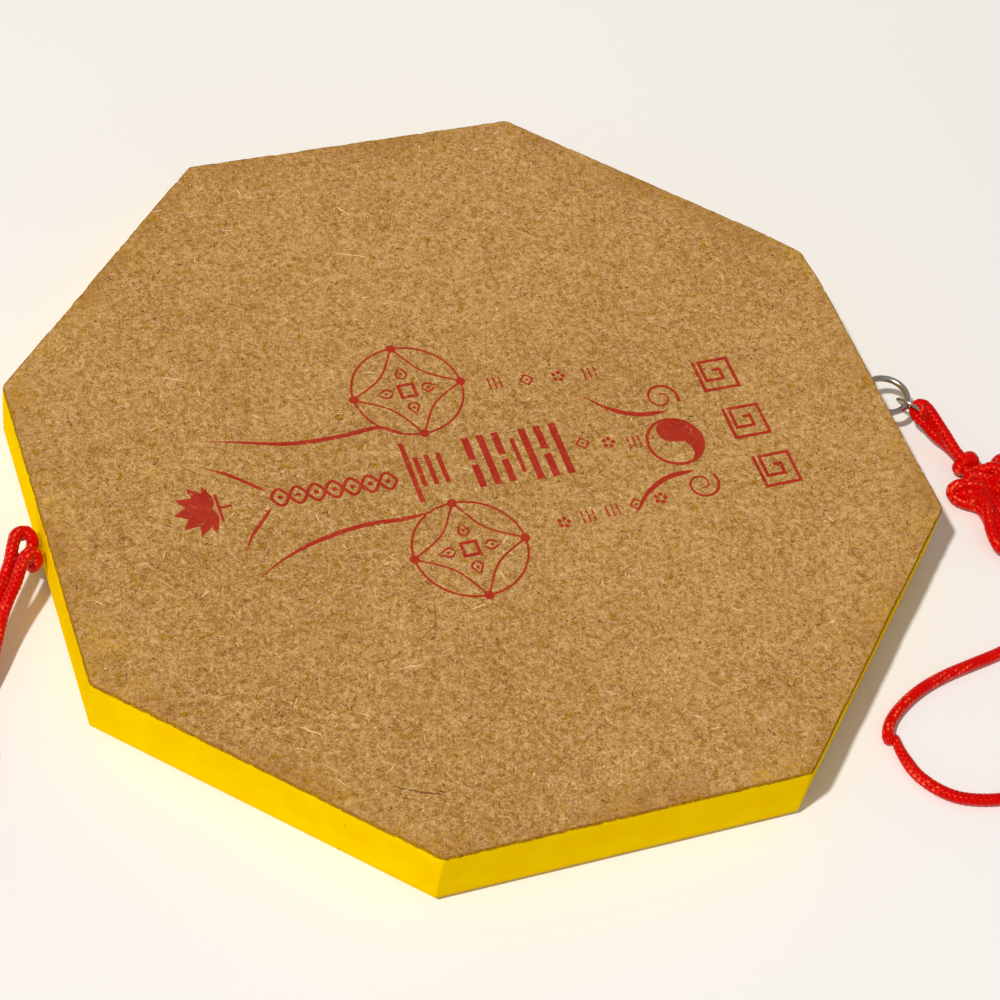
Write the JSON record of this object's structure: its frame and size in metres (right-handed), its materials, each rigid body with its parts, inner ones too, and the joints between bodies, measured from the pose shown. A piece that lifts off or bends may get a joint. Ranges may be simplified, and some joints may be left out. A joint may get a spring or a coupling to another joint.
{
  "type": "bagua mirror",
  "caption": "Eight-sided wooden plaque with a convex mirror and engraved trigrams, screw eyes, a knotted red hanging cord and a tassel, lying face down",
  "frame": {"origin": "on the table, under the middle of the plaque with its screw eyes and jump ring", "axes": "+X is up when the plaque hangs, +Z points out of its back, +Y completes the right-handed frame"},
  "size_m": [0.3452, 0.2448, 0.018],
  "materials": {
    "plaque_wood": "bare fibreboard back, painted front and sides",
    "mirror_glass": "polished",
    "pad_foam": "matt foam",
    "plated_steel": "plated",
    "red_cord": "satin braid"
  },
  "bodies": {
    "root": {"plaque": "plaque_wood", "mirror_glass": "mirror_glass", "mirror_pad": "pad_foam", "top_screw_eye": "plated_steel", "bottom_screw_eye": "plated_steel", "tassel_cord": "red_cord"},
    "hanger": {"jump_ring": "plated_steel", "hanger_bight": "red_cord", "hanger_knot": "red_cord", "hanger_loop_outer": "red_cord", "hanger_loop_inner": "red_cord"},
    "tassel": {"tassel_knot": "red_cord", "tassel_stem_left": "red_cord", "tassel_stem_right": "red_cord", "tassel_head": "red_cord", "tassel_skirt": "red_cord"}
  },
  "joints": [
    {"name": "hanger_swing", "type": "hinge", "parent": "root", "child": "hanger", "pos_m": [0.10282, 0, 0.0085], "axis": [0, 0, 1], "range_deg": [-5, 120]},
    {"name": "tassel_swing", "type": "hinge", "parent": "root", "child": "tassel", "pos_m": [-0.11218, -0.005, 0.009], "axis": [0, 0, 1], "range_deg": [-80, 20]}
  ]
}
